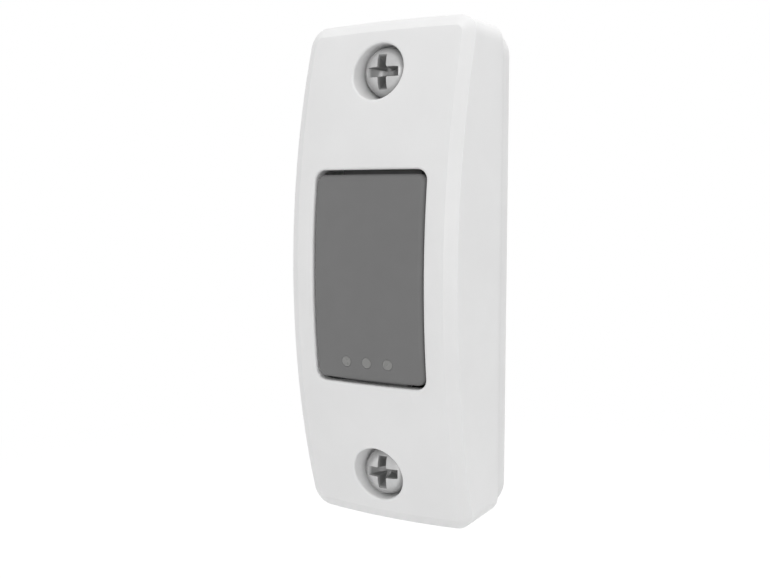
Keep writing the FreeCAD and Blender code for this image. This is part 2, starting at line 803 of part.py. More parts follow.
sheet_body = doc.addObject("PartDesign::Body", "board sheet")
board_pad = padded(sheet_body, "board pad",
                   rectangle("board_width / 2", "-board_height / 2", "board_height / 2"),
                   "board_lift", board_front)
rounded(sheet_body, "board corners", board_pad, edge_names(board_pad.Shape, square_to_wall),
        "board_corner")
for side in SIDES:
    lead_hole(f"resistor {side}", f"{side} * lead_span / 2", "resistor_level")
    lead_hole(f"diode {side}", f"{side} * lead_span / 2", "diode_level")
    lead_hole(f"lamp {side}", f"{side} * lamp_pitch / 2", "dot_level")
board_holes = list(lead_holes)
for side in SIDES:
    board_holes.append(rod(f"board screw hole {side}", f"{side} * post_across", f"{side} * post_along",
                           "board_lift - past", f"{board_front} + past", "board_screw_radius + pin_gap"))
    board_holes.append(rod(f"board pin hole {side}", f"{side} * post_across",
                           f"-({side} * post_along)", "board_lift - past", f"{board_front} + past",
                           "pin_radius + pin_gap"))
    board_holes.append(rod(f"bush hole {side}", f"{side} * terminal_across", "terminal_level",
                           "board_lift - past", f"{board_front} + past", "bush_radius + bush_gap"))
    for end in SIDES:
        board_holes.append(block(f"leg slot {side} {end}",
                                 f"{side} * leg_across - leg_thick / 2 - leg_gap",
                                 f"{side} * leg_across + leg_thick / 2 + leg_gap",
                                 "board_lift - past", f"{board_front} + past",
                                 f"switch_level + {end} * leg_along - leg_width / 2 - leg_gap",
                                 f"switch_level + {end} * leg_along + leg_width / 2 + leg_gap"))
circuit_board = cut("circuit_board", sheet_body, board_holes)

small_screws = []
for side in SIDES:
    across, level = f"{side} * post_across", f"{side} * post_along"
    shaft = turned(f"board screw turning {side}", [
        ("0", "board_lift - board_head_rise"),
        ("board_head_radius - board_head_round", "board_lift - board_head_rise"),
        ("board_head_radius", "board_lift - board_head_rise / 2"),
        ("board_head_radius", "board_lift"),
        ("board_screw_radius", "board_lift"),
        ("board_screw_radius", "board_lift + board_screw_length - board_point"),
        ("0", "board_lift + board_screw_length"),
    ], (), across, level)
    recess = cross_recess(f"board screw {side}", across, level, "board_lift - board_head_rise - past",
                          "board_lift - board_head_rise + board_cross_depth", "board_cross_span",
                          "board_cross_width")
    small_screws.append(cut(f"board screw {side}", shaft, recess))
board_screws = group("board_screws", small_screws)

# Tact switch

switch_half = "switch_side / 2"
switch_block = block("switch block", f"-{switch_half}", switch_half, board_front, switch_top,
                     f"switch_level - {switch_half}", f"switch_level + {switch_half}")
switch_base = cut("switch_base", switch_block, [
    rod("switch well", "0", "switch_level", f"{board_front} + switch_floor", f"{switch_top} + past",
        "switch_well"),
])
cover_top = f"({switch_top} + cover_thick)"
tabs = []
for end in SIDES:
    inner = f"{end} * {switch_half}"
    outer = f"{end} * ({switch_half} + cover_thick)"
    z0, z1 = (outer, inner) if end < 0 else (inner, outer)
    tabs.append(block(f"cover tab {end}", "-cover_tab_width / 2", "cover_tab_width / 2",
                      f"{switch_top} - cover_tab", cover_top, f"switch_level + {z0}",
                      f"switch_level + {z1}"))
cover_sheet = block("cover top", f"-{switch_half}", switch_half, switch_top, cover_top,
                    f"switch_level - {switch_half}", f"switch_level + {switch_half}")
switch_cover = cut("switch_cover", joined("cover with tabs", [cover_sheet, *tabs]), [
    rod("cover hole", "0", "switch_level", f"{switch_top} - past", f"{cover_top} + past",
        "plunger_radius + plunger_gap"),
])
flange_top = f"({switch_top} - flange_gap)"
flange_low = f"({flange_top} - flange_thick)"
switch_plunger = turned("switch_plunger", [
    ("0", plunger_top),
    ("plunger_radius - plunger_round", plunger_top),
    ("plunger_radius", f"{plunger_top} - plunger_round"),
    ("plunger_radius", flange_top),
    ("flange_radius", flange_top),
    ("flange_radius", flange_low),
    ("nub_radius", flange_low),
    ("nub_radius", f"{flange_low} - nub_length"),
    ("0", f"{flange_low} - nub_length"),
], (), "0", "switch_level")
dome_crest = f"({flange_low} - nub_length - travel - dome_gap)"
contact_dome = turned("contact_dome", [
    ("0", dome_crest),
    ("dome_radius / 2", f"{dome_crest} - dome_shoulder"),
    ("dome_radius", f"{board_front} + switch_floor + dome_thick"),
    ("dome_radius", f"{board_front} + switch_floor"),
    ("dome_radius - dome_foot", f"{board_front} + switch_floor"),
    ("dome_radius / 2", f"{dome_crest} - dome_shoulder - dome_thick"),
    ("0", f"{dome_crest} - dome_thick"),
], (), "0", "switch_level")
legs = []
for side in SIDES:
    for end in SIDES:
        level = f"switch_level + {end} * leg_along"
        legs.append(block(f"leg {side} {end}", f"{side} * leg_across - leg_thick / 2",
                          f"{side} * leg_across + leg_thick / 2", "board_lift - leg_tail",
                          f"{board_front} + leg_rise", f"{level} - leg_width / 2",
                          f"{level} + leg_width / 2"))
switch_legs = group("switch_legs", legs)

# Locator lamp

lamp_top = f"({board_front} + lamp_rise)"
locator_lamp = turned("locator_lamp", [
    ("0", board_front),
    ("lamp_flange", board_front),
    ("lamp_flange", f"{board_front} + lamp_flange_thick"),
    ("lamp_radius", f"{board_front} + lamp_flange_thick"),
    ("lamp_radius", f"{lamp_top} - lamp_radius"),
    ("0", lamp_top),
], {4: ("lamp_radius", -1)}, "0", "dot_level")
lamp_leads = group("lamp_leads", [
    rod(f"lamp lead {side}", f"{side} * lamp_pitch / 2", "dot_level", "board_lift - lead_tail", board_front,
        "wire_radius") for side in SIDES])

# Resistor and diode


def lying_leads(label, level, lift, body_length):
    """Two wires that leave the ends of a body, bend and go down through the board."""
    wires = []
    for side in SIDES:
        near, far = f"{side} * ({body_length}) / 2", f"{side} * lead_span / 2"
        x0, x1 = (far, near) if side < 0 else (near, far)
        wires.append(joined(f"{label} {side}", [
            cross_rod(f"{label} run {side}", x0, x1, lift, level, "wire_radius"),
            rod(f"{label} drop {side}", far, level, "board_lift - lead_tail", lift, "wire_radius")]))
    return group(label, wires)


resistor_lift = f"({board_front} + resistor_radius + rest_gap)"
diode_lift = f"({board_front} + diode_radius + rest_gap)"
resistor_pieces = [cross_rod("resistor waist", "-resistor_length / 2 + bite",
                             "resistor_length / 2 - bite", resistor_lift, "resistor_level",
                             "resistor_waist")]
for side in SIDES:
    x0, x1 = outward(side, "(resistor_length / 2 - resistor_cap)", "(resistor_length / 2)")
    resistor_pieces.append(cross_rod(f"resistor end {side}", x0, x1, resistor_lift, "resistor_level",
                                     "resistor_radius"))
series_resistor = joined("series_resistor", resistor_pieces)
resistor_leads = lying_leads("resistor_leads", "resistor_level", resistor_lift, "resistor_length")
steering_diode = cross_rod("steering_diode", "-diode_length / 2", "diode_length / 2", diode_lift,
                           "diode_level", "diode_radius")
diode_leads = lying_leads("diode_leads", "diode_level", diode_lift, "diode_length")

# Screw terminals

bushes, pads, clamps, washers = [], [], [], []
pad_low = "(board_lift - terminal_thick)"
washer_low = f"({pad_low} - washer_thick)"
head_low = f"({washer_low} - clamp_head_rise)"
bush_top = f"({board_front} + bush_flange_thick + bush_rise)"
for side in SIDES:
    across = f"{side} * terminal_across"
    bushes.append(turned(f"bush {side}", [
        ("clamp_radius + clamp_gap", "board_lift"),
        ("bush_radius", "board_lift"),
        ("bush_radius", board_front),
        ("bush_flange", board_front),
        ("bush_flange", f"{board_front} + bush_flange_thick"),
        ("bush_radius", f"{board_front} + bush_flange_thick"),
        ("bush_radius", bush_top),
        ("clamp_radius + clamp_gap", bush_top),
    ], (), across, "terminal_level"))
    pad_sheet = block(f"pad sheet {side}", f"{across} - terminal_width / 2",
                      f"{across} + terminal_width / 2", pad_low, "board_lift",
                      "terminal_level - terminal_height / 2", "terminal_level + terminal_height / 2")
    pads.append(cut(f"terminal pad {side}", pad_sheet, [
        rod(f"pad hole {side}", across, "terminal_level", f"{pad_low} - past", "board_lift + past",
            "clamp_radius + clamp_gap"),
    ]))
    washers.append(turned(f"washer {side}", [
        ("clamp_radius + clamp_gap", washer_low),
        ("washer_radius", washer_low),
        ("washer_radius", pad_low),
        ("clamp_radius + clamp_gap", pad_low),
    ], (), across, "terminal_level"))
    shaft = turned(f"clamp turning {side}", [
        ("0", head_low),
        ("clamp_head - clamp_head_round", head_low),
        ("clamp_head", f"{head_low} + clamp_head_round"),
        ("clamp_head", washer_low),
        ("clamp_radius", washer_low),
        ("clamp_radius", f"{washer_low} + clamp_length - clamp_point"),
        ("clamp_radius - clamp_point", f"{washer_low} + clamp_length"),
        ("0", f"{washer_low} + clamp_length"),
    ], (), across, "terminal_level")
    clamps.append(cut(f"clamp screw {side}", shaft, [
        block(f"clamp slot {side}", f"{across} - clamp_head - past", f"{across} + clamp_head + past",
              f"{head_low} - past", f"{head_low} + slot_depth", "terminal_level - slot_width / 2",
              "terminal_level + slot_width / 2"),
    ]))
terminal_bushes = group("terminal_bushes", bushes)
terminal_pads = group("terminal_pads", pads)
clamp_washers = group("clamp_washers", washers)
terminal_screws = group("terminal_screws", clamps)

# Solder joints


def solder(label, across, level, inner):
    return turned(label, [
        (inner, "board_lift"),
        ("solder_radius", "board_lift"),
        (f"{inner} + solder_wall", "board_lift - solder_rise"),
        (inner, "board_lift - solder_rise"),
    ], (), across, level)


wire_inner = "(wire_radius + solder_gap)"
joint_places = (("resistor", "lead_span / 2", "resistor_level"), ("diode", "lead_span / 2", "diode_level"),
                ("lamp", "lamp_pitch / 2", "dot_level"))
solder_joints = group("solder_joints", [
    solder(f"{name} joint {side}", f"{side} * {across}", level, wire_inner)
    for side in SIDES for name, across, level in joint_places])

# Checks and export

NODES = [front_housing, rear_plate, button_cap, light_guide, wall_screws, circuit_board, board_screws,
         switch_base, switch_cover, switch_plunger, contact_dome, switch_legs, locator_lamp, lamp_leads,
         series_resistor, resistor_leads, steering_diode, diode_leads, terminal_bushes, terminal_pads,
         clamp_washers, terminal_screws, solder_joints]
doc.recompute()
failed = [o.Label for o in doc.Objects if "Invalid" in o.State or "Error" in o.State]
if failed:
    raise RuntimeError(f"failed objects: {failed}")
for node in NODES:
    if node.Shape.isNull() or not node.Shape.isValid() or not node.Shape.Solids:
        raise RuntimeError(f"{node.Label} has no valid solid")
os.makedirs("parts", exist_ok=True)
for node in NODES:
    node.Shape.exportStep(os.path.join("parts", f"{node.Label}.step"))
    box = node.Shape.BoundBox
    print(f"{node.Label}: {len(node.Shape.Solids)} solids, {node.Shape.Volume:.2f} mm3, "
          f"x {box.XMin:.2f}..{box.XMax:.2f} y {box.YMin:.2f}..{box.YMax:.2f} "
          f"z {box.ZMin:.2f}..{box.ZMax:.2f}")
press = math.degrees(math.asin(number("travel / (hinge_level - switch_level)")))
print(f"hinge at lift {number('hinge_lift'):.3f}, level {number('hinge_level'):.3f}")
print(f"full press {press:.4f} degrees")
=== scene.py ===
import json
import math

import bmesh
import bpy
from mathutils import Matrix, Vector


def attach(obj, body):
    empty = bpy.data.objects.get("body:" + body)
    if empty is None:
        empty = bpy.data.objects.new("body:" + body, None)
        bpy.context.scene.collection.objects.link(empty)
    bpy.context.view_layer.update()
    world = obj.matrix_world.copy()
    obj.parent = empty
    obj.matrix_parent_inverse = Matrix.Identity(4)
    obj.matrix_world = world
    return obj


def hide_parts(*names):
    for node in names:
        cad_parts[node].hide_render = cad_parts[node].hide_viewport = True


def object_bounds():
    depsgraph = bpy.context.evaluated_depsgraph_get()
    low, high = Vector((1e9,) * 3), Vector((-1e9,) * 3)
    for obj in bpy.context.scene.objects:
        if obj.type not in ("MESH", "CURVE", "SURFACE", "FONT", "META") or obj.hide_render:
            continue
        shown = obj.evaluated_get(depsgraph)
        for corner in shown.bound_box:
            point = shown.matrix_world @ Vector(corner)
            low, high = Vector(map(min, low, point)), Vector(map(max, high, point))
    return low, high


# The wall push button as the photograph shows it: white arched case, grey rocking cap with three light
# dots, two cross-recess screws in their wells. Lengths are in metres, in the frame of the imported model;
# the tables of the circuit board and of the wall screws are in millimetres.
MM = 0.001

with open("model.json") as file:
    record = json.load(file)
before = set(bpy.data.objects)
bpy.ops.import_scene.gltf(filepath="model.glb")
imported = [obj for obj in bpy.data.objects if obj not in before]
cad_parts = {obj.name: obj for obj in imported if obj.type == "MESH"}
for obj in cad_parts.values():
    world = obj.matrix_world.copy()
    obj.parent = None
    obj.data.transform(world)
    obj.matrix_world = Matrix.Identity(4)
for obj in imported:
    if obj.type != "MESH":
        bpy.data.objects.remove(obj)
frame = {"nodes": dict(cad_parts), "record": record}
cad_low, cad_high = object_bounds()
record = frame["record"]
nodes = frame["nodes"]


# Camera

PHOTO_WIDTH = 770
FOCAL_PIXELS = 950.1
SENSOR_WIDTH = 36.0
CAMERA_PLACE = Vector((66.54, -126.03, 11.04)) * MM
CAMERA_YAW = math.radians(30.37)
CAMERA_DIP = math.radians(5.59)
CLIP_NEAR, CLIP_FAR = 1 * MM, 20.0


def make_camera():
    data = bpy.data.cameras.new("camera")
    data.sensor_width = SENSOR_WIDTH
    data.lens = FOCAL_PIXELS * SENSOR_WIDTH / PHOTO_WIDTH
    data.clip_start = CLIP_NEAR
    data.clip_end = CLIP_FAR
    camera = bpy.data.objects.new("camera", data)
    camera.location = CAMERA_PLACE
    camera.rotation_euler = (math.pi / 2 - CAMERA_DIP, 0, CAMERA_YAW)
    bpy.context.scene.collection.objects.link(camera)
    bpy.context.scene.camera = camera
    bpy.context.scene.view_settings.view_transform = "Standard"


# Node helpers

WHITE = (1, 1, 1, 1)
BEVEL_SAMPLES = 6
NOISE_LOW, NOISE_HIGH = 0.3, 0.7  # most values of a noise texture lie between these


class Tree:
    """A node tree with short ways to add nodes and to fill their inputs."""

    def __init__(self, tree):
        self.tree = tree

    def add(self, kind, **settings):
        node = self.tree.nodes.new(kind)
        for name, value in settings.items():
            setattr(node, name, value)
        return node

    def fill(self, socket, value):
        """Links an input to an output, or gives it a constant."""
        if isinstance(value, bpy.types.NodeSocket):
            self.tree.links.new(value, socket)
        else:
            socket.default_value = value

    def set(self, node, **inputs):
        """Fills a node's inputs, by name with spaces as underscores."""
        for name, value in inputs.items():
            self.fill(node.inputs[name.replace("_", " ")], value)
        return node

    def feed(self, node, *values):
        """Fills a node's inputs in their order."""
        for socket, value in zip(node.inputs, values):
            self.fill(socket, value)
        return node

    def maths(self, operation, *values):
        return self.feed(self.add("ShaderNodeMath", operation=operation), *values).outputs[0]

    def mixed(self, share, first, second):
        """Two shaders mixed by a share from 0 to 1."""
        return self.feed(self.add("ShaderNodeMixShader"), share, first, second).outputs[0]

    def seen_directly(self):
        """1 for rays that the camera, a mirror or glass sends out, 0 for those that carry light."""
        path = self.add("ShaderNodeLightPath")
        total = path.outputs["Is Camera Ray"]
        for name in ("Is Glossy Ray", "Is Transmission Ray"):
            total = self.maths("MAXIMUM", total, path.outputs[name])
        return total


class Shade(Tree):
    """A material's node tree, with patterns laid out in the part's own coordinates."""

    def __init__(self, name):
        self.material = bpy.data.materials.new(name)
        self.material.use_nodes = True
        super().__init__(self.material.node_tree)
        self.shader = self.tree.nodes["Principled BSDF"]
        self.where = self.add("ShaderNodeTexCoord").outputs["Object"]

    def noise(self, size, detail=2.0, rough=0.5, stretch=(1, 1, 1)):
        """Noise between 0 and 1 whose lumps are about a size in metres."""
        place = self.set(self.add("ShaderNodeMapping"), Vector=self.where, Scale=stretch)
        node = self.add("ShaderNodeTexNoise")
        self.set(node, Vector=place.outputs[0], Scale=1 / size, Detail=detail, Roughness=rough)
        return node.outputs["Fac"]

    def spread(self, value, low, high):
        """Maps the usual values of a noise onto a range."""
        node = self.add("ShaderNodeMapRange")
        self.set(node, Value=value, From_Min=NOISE_LOW, From_Max=NOISE_HIGH, To_Min=low, To_Max=high)
        return node.outputs["Result"]

    def patches(self, size, detail, rough=0.5):
        """Noise drawn out to shares from 0 to 1."""
        return self.spread(self.noise(size, detail, rough), 0, 1)

    def part(self, axis):
        """One coordinate of the point, in metres."""
        return self.set(self.add("ShaderNodeSeparateXYZ"), Vector=self.where).outputs[axis]

    def beyond(self, value, middle, half):
        """How far a coordinate lies outside a span, given in mm; negative inside it."""
        off = self.maths("ABSOLUTE", self.maths("SUBTRACT", value, middle * MM))
        return self.maths("SUBTRACT", off, half * MM)

    def wave(self, axis, size):
        """A wave from 0 to 1 along an axis."""
        turn = self.maths("SINE", self.maths("MULTIPLY", self.part(axis), 2 * math.pi / size))
        return self.maths("MULTIPLY_ADD", turn, 0.5, 0.5)

    def blend(self, share, first, second):
        """Colour between two, by a share from 0 to 1."""
        node = self.add("ShaderNodeMix", data_type="RGBA")
        enabled = [socket for socket in node.inputs if socket.enabled]
        for socket, value in zip(enabled, (share, first, second)):
            self.fill(socket, (*value, 1) if isinstance(value, (list, tuple)) else value)
        return next(socket for socket in node.outputs if socket.enabled)

    def bump(self, height, strength, depth, edge):
        """Relief from a height, over edges softened to a radius."""
        soft = self.set(self.add("ShaderNodeBevel", samples=BEVEL_SAMPLES), Radius=edge)
        node = self.add("ShaderNodeBump")
        self.set(node, Height=height, Strength=strength, Distance=depth, Normal=soft.outputs[0])
        self.set(self.shader, Normal=node.outputs["Normal"])

    def paint(self, **inputs):
        self.set(self.shader, **inputs)
        return self.material


# Finishes

SOFT_EDGE = 0.12 * MM
FINE_EDGE = 0.06 * MM
PLASTIC_IOR = 1.5
EPOXY_IOR = 1.53
WHITE_GLOW, GUIDE_GLOW = 0.35, 0.3
GLOW_REACH = 1.2 * MM
COLOUR_DRIFT = 0.97


def slot_colour(slot):
    """The record's colour of a material slot."""
    return next(m["base_color"][:3] for m in record["materials"] if m["slot"] == slot)


def darker(colour, share):
    return [c * share for c in colour]


def moulded(slot, roughness=0.42, grain=0.12 * MM, relief=0.006 * MM, glow=0.0):
    """Moulded plastic: fine spark-eroded grain, slow drifts of colour and gloss, softened edges. White
    plastic lets some light through, which is its glow."""
    shade = Shade(slot)
    colour = slot_colour(slot)
    tint = shade.blend(shade.patches(9 * MM, 3), colour, darker(colour, COLOUR_DRIFT))
    shade.bump(shade.noise(grain, 3, 0.6), 0.35, relief, SOFT_EDGE)
    gloss = shade.spread(shade.noise(2.5 * MM), roughness - 0.05, roughness + 0.05)
    shade.set(shade.shader, Subsurface_Weight=glow, Subsurface_Scale=GLOW_REACH)
    shade.set(shade.shader, Subsurface_Radius=(1.0, 1.0, 1.0))
    return shade.paint(Base_Color=tint, Roughness=gloss, IOR=PLASTIC_IOR)


def metal(slot, roughness, grain=0.1 * MM, stretch=(1, 1, 1), relief=0.004 * MM, dull=0.8):
    """Plated or bare metal: lines left by the tool, drawn out along an axis, and dull patches."""
    shade = Shade(slot)
    colour = slot_colour(slot)
    patches = shade.patches(1.6 * MM, 4, 0.6)
    tint = shade.blend(patches, colour, darker(colour, dull))
    shade.bump(shade.noise(grain, 3, 0.65, stretch), 0.5, relief, FINE_EDGE)
    gloss = shade.spread(patches, roughness - 0.07, roughness + 0.12)
    return shade.paint(Base_Color=tint, Metallic=1.0, Roughness=gloss)


def banded(slot, bands, roughness):
    """Lacquered body of a part that lies across the board, with rings of colour: middle along X, width and
    colour of each."""
    shade = Shade(slot)
    colour = slot_colour(slot)
    tint = shade.blend(shade.patches(0.8 * MM, 3), colour, darker(colour, 0.85))
    across = shade.part("X")
    for middle, width, band in bands:
        inside = shade.maths("COMPARE", across, middle * MM, width / 2 * MM)
        tint = shade.blend(inside, tint, band)
    shade.bump(shade.noise(0.25 * MM), 0.3, 0.01 * MM, SOFT_EDGE)
    gloss = shade.spread(shade.noise(0.6 * MM), roughness - 0.06, roughness + 0.06)
    return shade.paint(Base_Color=tint, Roughness=gloss, IOR=PLASTIC_IOR)


def clear_epoxy(slot):
    """Tinted epoxy of the lamp: nearly clear, with a faint haze and flow lines."""
    shade = Shade(slot)
    colour = slot_colour(slot)
    haze = shade.patches(0.9 * MM, 3)
    tint = shade.blend(haze, colour, darker(colour, 0.9))
    shade.bump(shade.noise(0.6 * MM), 0.2, 0.01 * MM, SOFT_EDGE)
    gloss = shade.spread(haze, 0.08, 0.16)
    return shade.paint(Base_Color=tint, Roughness=gloss, IOR=EPOXY_IOR, Transmission_Weight=0.85)


# Circuit board, seen from the front. Pads round the leads: x, z, radius
PADS = [(x, z, 0.95) for z, half in ((14.6, 5.1), (-17.2, 5.1), (-11.55, 1.27)) for x in (-half, half)]
PADS += [(x, z, 0.75) for x in (-3.25, 3.25) for z in (-3.25, 1.25)]
PADS += [(x, 9.0, 3.25) for x in (-6.2, 6.2)]
# Copper runs along X or Z: x and z of one end, x and z of the other
RUNS = [
    (-6.2, 9.0, -6.2, 14.6), (-6.2, 14.6, -5.1, 14.6), (6.2, 9.0, 6.2, 1.25), (6.2, 1.25, 3.25, 1.25),
    (5.1, 14.6, 8.6, 14.6), (8.6, 14.6, 8.6, -11.55), (8.6, -11.55, 1.27, -11.55),
    (-1.27, -11.55, -5.1, -11.55), (-5.1, -11.55, -5.1, -17.2), (-3.25, -3.25, -8.6, -3.25),
    (-8.6, -3.25, -8.6, 9.0), (5.1, -17.2, 5.1, -14.2), (5.1, -14.2, 3.25, -14.2), (3.25, -14.2, 3.25, -3.25),
]
RUN_HALF = 0.35
# Outlines printed round the parts, on the front side only: x and z of the middle, half width, half height
PRINTS = [(0, 14.6, 3.9, 1.7), (0, -17.2, 3.3, 1.8), (0, -1.0, 3.9, 3.9), (0, -11.55, 2.4, 2.4)]
PRINT_LINE = 0.12
BOARD_MIDDLE = -5.2 * MM
WEAVE = 0.45 * MM
LACQUERED_COPPER = (0.09, 0.30, 0.12)
PRINT_WHITE = (0.72, 0.72, 0.70)
TINNED = (0.66, 0.65, 0.62)


def printed_board(slot):
    """Green board: copper runs that show through the lacquer, tinned pads, white outlines, glass weave."""
    shade = Shade(slot)
    colour = slot_colour(slot)
    x, z = shade.part("X"), shade.part("Z")
    flat = shade.set(shade.add("ShaderNodeCombineXYZ"), X=x, Z=z).outputs[0]

    def outside(middle_x, middle_z, half_x, half_z):
        """How far a point lies outside a rectangle, given in mm; negative inside it."""
        return shade.maths("MAXIMUM", shade.beyond(x, middle_x, half_x), shade.beyond(z, middle_z, half_z))

    copper = pads = prints = 0.0
    for x0, z0, x1, z1 in RUNS:
        far = outside((x0 + x1) / 2, (z0 + z1) / 2, abs(x1 - x0) / 2, abs(z1 - z0) / 2)
        copper = shade.maths("MAXIMUM", shade.maths("LESS_THAN", far, RUN_HALF * MM), copper)
    for pad_x, pad_z, radius in PADS:
        away = shade.add("ShaderNodeVectorMath", operation="DISTANCE")
        shade.feed(away, flat, (pad_x * MM, 0, pad_z * MM))
        pads = shade.maths("MAXIMUM", shade.maths("LESS_THAN", away.outputs["Value"], radius * MM), pads)
    for print_place in PRINTS:
        line = shade.maths("COMPARE", outside(*print_place), 0.0, PRINT_LINE / 2 * MM)
        prints = shade.maths("MAXIMUM", line, prints)
    prints = shade.maths("MULTIPLY", prints, shade.maths("LESS_THAN", shade.part("Y"), BOARD_MIDDLE))
    weave = shade.maths("MULTIPLY", shade.wave("X", WEAVE), shade.wave("Z", WEAVE))
    tint = shade.blend(weave, colour, darker(colour, 0.8))
    tint = shade.blend(copper, tint, LACQUERED_COPPER)
    tint = shade.blend(prints, tint, PRINT_WHITE)
    tint = shade.blend(pads, tint, TINNED)
    raised = shade.maths("MAXIMUM", copper, pads)
    relief = shade.maths("ADD", raised, shade.maths("MULTIPLY", weave, 0.2))
    shade.bump(relief, 0.6, 0.03 * MM, FINE_EDGE)
    gloss = shade.spread(shade.noise(1.2 * MM), 0.24, 0.36)
    return shade.paint(Base_Color=tint, Metallic=pads, Roughness=gloss, IOR=PLASTIC_IOR)


# Wall screws: their level above and below the middle, the lift of their seats off the wall, and the
# head's outline as radius and height over the seat, from the underside to the foot of the dome
SCREW_LEVEL = 27.8 * MM
SEAT_LIFT = 10.8
HEAD = [(1.45, 0.0), (3.36, 0.0), (3.47, 0.1), (3.48, 0.55), (3.43, 0.8), (3.3, 1.08)]
# The dome's height over the seat, and the radius of the small flat on it
HEAD_RISE = 2.6
HEAD_FLAT = 0.9
# Painted shade in the recess: it darkens from the dome's surface over a depth, to a share of the head's
# colour. Whatever is deeper than its reach belongs to the thread.
RECESS_SHADE_FADE = 0.9
RECESS_SHADE_SHARE = 0.5
RECESS_SHADE_REACH = 2.5
HEAD_METAL = 0.55
RING_PITCH = 0.16 * MM


def plated_head(slot):
    """Zinc-plated wall screw: rings left by turning on the head, tool lines on the thread, and painted shade
    in the recess, darker by its depth under the dome's surface. The head is greyer than the thread,
    whose plating is bright."""
    shade = Shade(slot)
    colour = slot_colour(slot)
    across = shade.part("X")
    upright = shade.maths("SUBTRACT", shade.maths("ABSOLUTE", shade.part("Z")), SCREW_LEVEL)
    squares = [shade.maths("MULTIPLY", value, value) for value in (across, upright)]
    away = shade.maths("SQRT", shade.maths("ADD", *squares))
    rings = shade.maths("SINE", shade.maths("MULTIPLY", away, 2 * math.pi / RING_PITCH))
    foot, foot_up = (v * MM for v in HEAD[-1])
    flat = HEAD_FLAT * MM
    reach = shade.maths("DIVIDE", shade.maths("SUBTRACT", away, flat), foot - flat)
    reach = shade.maths("MINIMUM", shade.maths("MAXIMUM", reach, 0.0), 1.0)
    bulge = shade.maths("SQRT", shade.maths("SUBTRACT", 1.0, shade.maths("MULTIPLY", reach, reach)))
    bulge = shade.maths("MULTIPLY", bulge, HEAD_RISE * MM - foot_up)
    dome = shade.maths("ADD", bulge, SEAT_LIFT * MM + foot_up)
    depth = shade.maths("ADD", dome, shade.part("Y"))
    # Painted shade: a mask for the recess, darker with its depth under the dome's surface, down to the thread
    near = shade.maths("LESS_THAN", depth, RECESS_SHADE_REACH * MM)
    inside = shade.maths("MULTIPLY", near, shade.spread(shade.maths("DIVIDE", depth, RECESS_SHADE_FADE * MM), 0, 1))
    patches = shade.patches(1.4 * MM, 4, 0.6)
    tint = shade.blend(patches, colour, darker(colour, 0.86))
    # The painted shade is laid into the recess here
    tint = shade.blend(inside, tint, darker(colour, RECESS_SHADE_SHARE))
    grain = shade.noise(0.14 * MM, 3, 0.6)
    shade.bump(shade.maths("ADD", shade.maths("MULTIPLY", rings, 0.25), grain), 0.35, 0.005 * MM, SOFT_EDGE)
    gloss = shade.spread(patches, 0.34, 0.5)
    on_head = shade.maths("LESS_THAN", shade.part("Y"), -SEAT_LIFT * MM)
    bright = shade.maths("MULTIPLY_ADD", on_head, HEAD_METAL - 1, 1.0)
    return shade.paint(Base_Color=tint, Metallic=bright, Roughness=gloss)


# Which finish each slot gets

ALONG_WALL = (0.12, 1, 1)
ROUND_AXIS = (1, 0.1, 1)
RESISTOR_BANDS = [
    (-2.35, 0.5, (0.16, 0.06, 0.02)), (-1.05, 0.5, (0.01, 0.01, 0.01)),
    (-0.1, 0.5, (0.42, 0.03, 0.02)), (2.3, 0.5, (0.55, 0.38, 0.10)),
]
DIODE_BANDS = [(1.65, 0.6, (0.55, 0.55, 0.56))]

FINISHES = {
    "case_white": (moulded, dict(glow=WHITE_GLOW)),
    "plate_white": (moulded, dict(roughness=0.5, grain=0.16 * MM, glow=WHITE_GLOW)),
    "cap_grey": (moulded, dict(roughness=0.6, grain=0.14 * MM)),
    "guide_grey": (moulded, dict(roughness=0.3, grain=0.3 * MM, relief=0.003 * MM, glow=GUIDE_GLOW)),
    "screw_zinc": (plated_head, {}),
    "small_screw_zinc": (metal, dict(roughness=0.36)),
    "board_green": (printed_board, {}),
    "switch_black": (moulded, dict(roughness=0.5, grain=0.08 * MM)),
    "switch_steel": (metal, dict(roughness=0.3, stretch=ALONG_WALL)),
    "plunger_black": (moulded, dict(roughness=0.38, grain=0.08 * MM)),
    "dome_steel": (metal, dict(roughness=0.22, stretch=ALONG_WALL, dull=0.9)),
    "leg_tin": (metal, dict(roughness=0.3, stretch=ROUND_AXIS)),
    "lamp_amber": (clear_epoxy, {}),
    "lead_tin": (metal, dict(roughness=0.28, stretch=ALONG_WALL)),
    "resistor_beige": (banded, dict(bands=RESISTOR_BANDS, roughness=0.34)),
    "diode_black": (banded, dict(bands=DIODE_BANDS, roughness=0.3)),
    "terminal_brass": (metal, dict(roughness=0.3, stretch=ROUND_AXIS)),
    "pad_tin": (metal, dict(roughness=0.34, stretch=ALONG_WALL)),
    "washer_nickel": (metal, dict(roughness=0.28, stretch=ROUND_AXIS)),
    "clamp_screw_brass": (metal, dict(roughness=0.26, stretch=ROUND_AXIS)),
    "solder_tin": (metal, dict(roughness=0.2, grain=0.4 * MM, relief=0.02 * MM, dull=0.9)),
}
MATERIALS = {slot: finish(slot, **look) for slot, (finish, look) in FINISHES.items()}


def dress_nodes():
    """Gives every CAD node the finish of its slot in the record."""
    for part in record["subparts"]:
        node = nodes[part["node"]]
        node.data.materials.clear()
        node.data.materials.append(MATERIALS[part["material_slot"]])


# Wall screws in full: domed head with a tapered cross recess, and a helical thread with a gimlet point

ROUND_STEPS = 52
DOME_STEPS = 10
SHARP_EDGE = math.radians(38)
# Cutter of the recess, from its top down. Bars: height over the dome's top, half length, half width.
# Cone in the middle: height over the dome's top, radius
RECESS_BARS = [(0.3, 2.8, 0.7), (-1.7, 1.5, 0.5), (-2.2, 0.5, 0.3)]
RECESS_CONE = [(0.3, 1.12), (-2.25, 0.35)]
# Radii of the plain shank, the thread's root and its crest
BLANK, CORE, THREAD = 1.45, 1.25, 1.75
# The thread along the shank: pitch, width of the crest and of each flank, distance between rows of points
PITCH = 1.3
CREST = 0.2
FLANK = 0.4
ROW = 0.1
